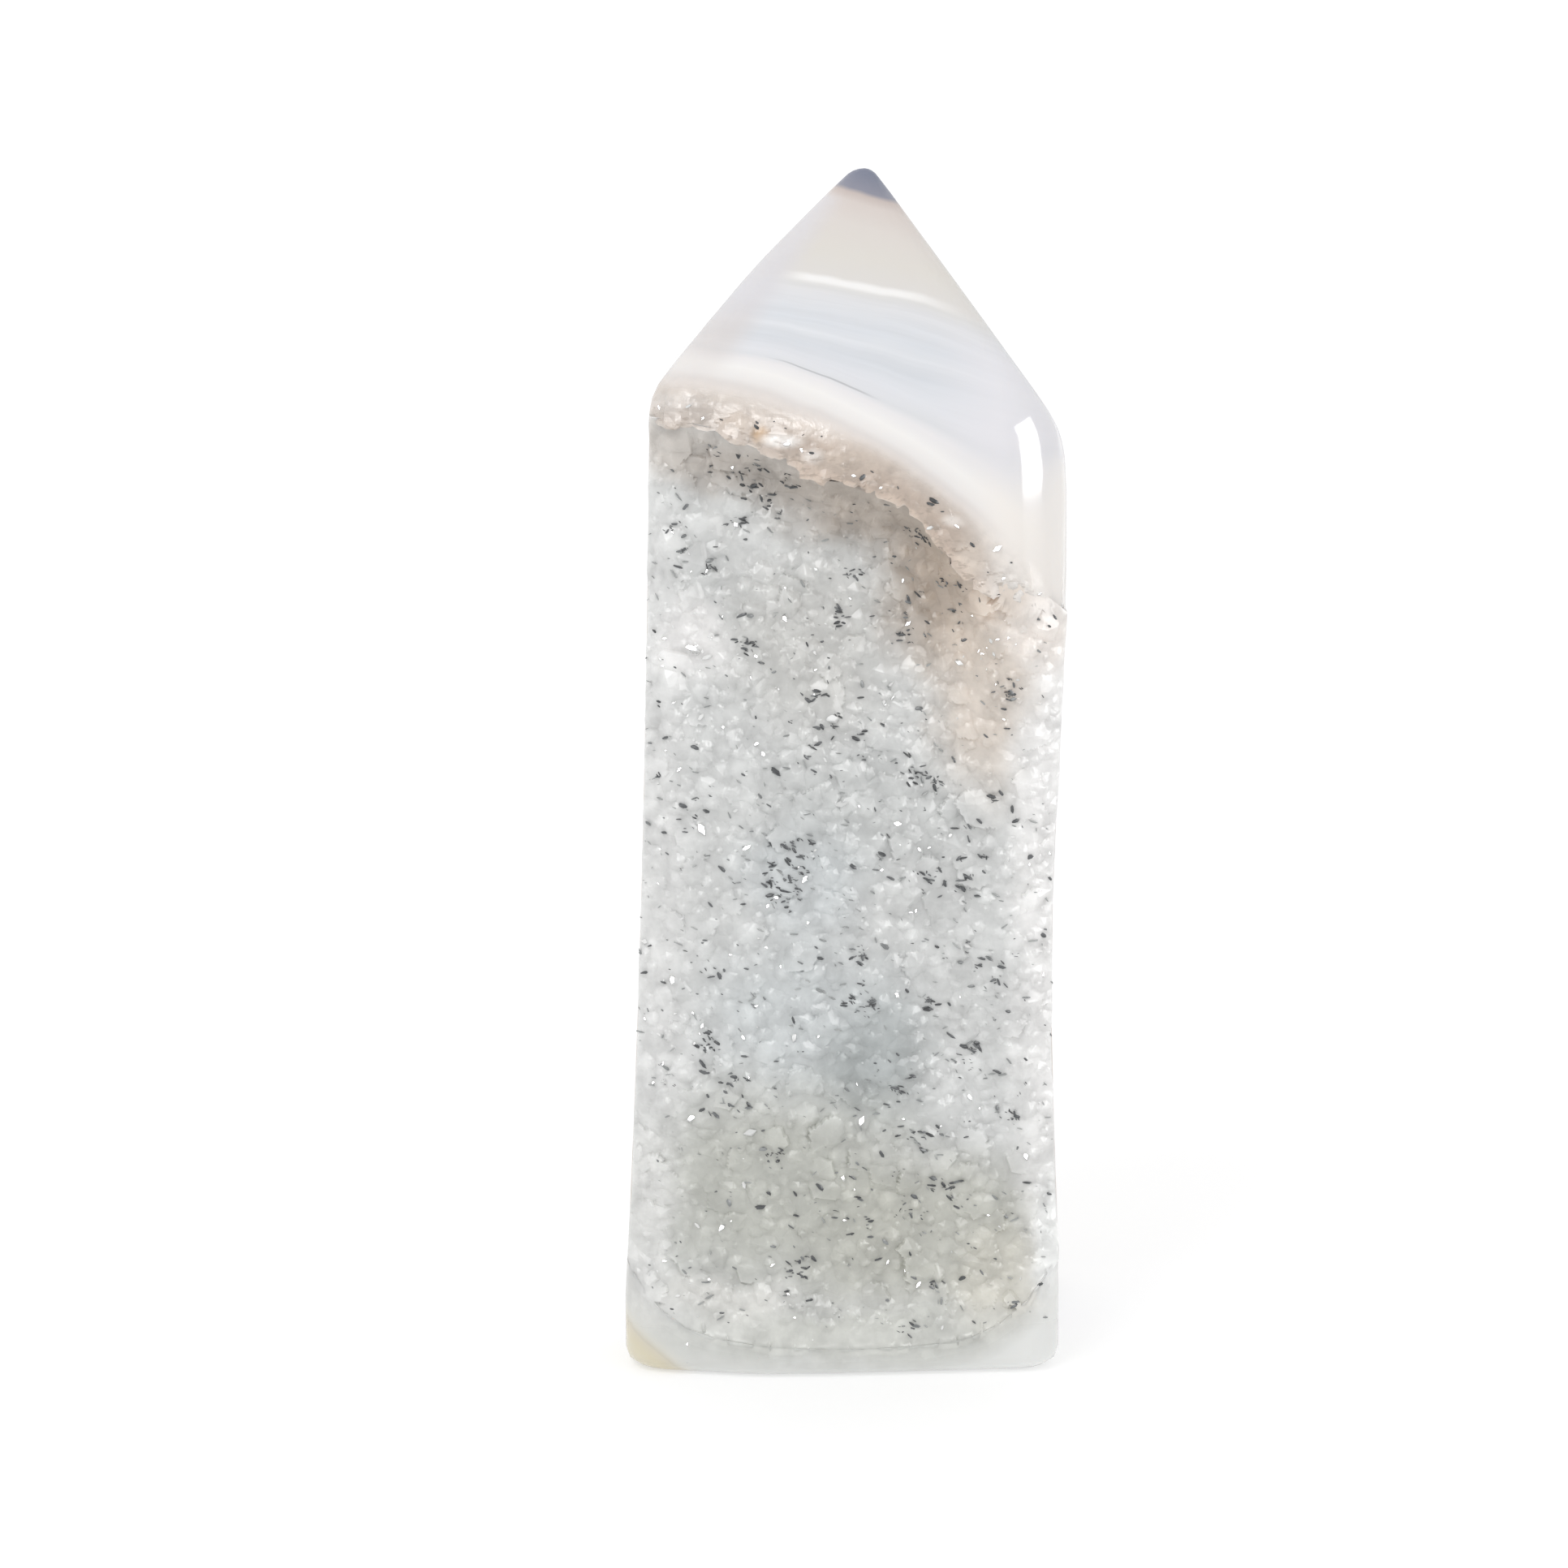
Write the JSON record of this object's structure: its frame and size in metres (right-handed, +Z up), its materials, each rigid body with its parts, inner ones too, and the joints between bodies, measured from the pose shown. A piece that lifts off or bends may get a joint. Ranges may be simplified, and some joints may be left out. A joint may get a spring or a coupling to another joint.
{
  "type": "druzy agate tower",
  "caption": "Free-standing polished agate tower with a flat base, rounded edges and a four-sided point, its front an open hollow lined with small quartz crystals.",
  "frame": {"origin": "on the resting face, under the middle of the stone's box", "axes": "+Z up the tower to its tip, -Y out of the crystal-lined front, +X to the right of someone who looks at that front"},
  "size_m": [0.0368, 0.0308, 0.1],
  "materials": {
    "polished_agate": "polished",
    "druzy_quartz": "satin"
  },
  "bodies": {
    "root": {"agate_tower": "polished_agate", "druzy_crust": "druzy_quartz"}
  },
  "joints": []
}
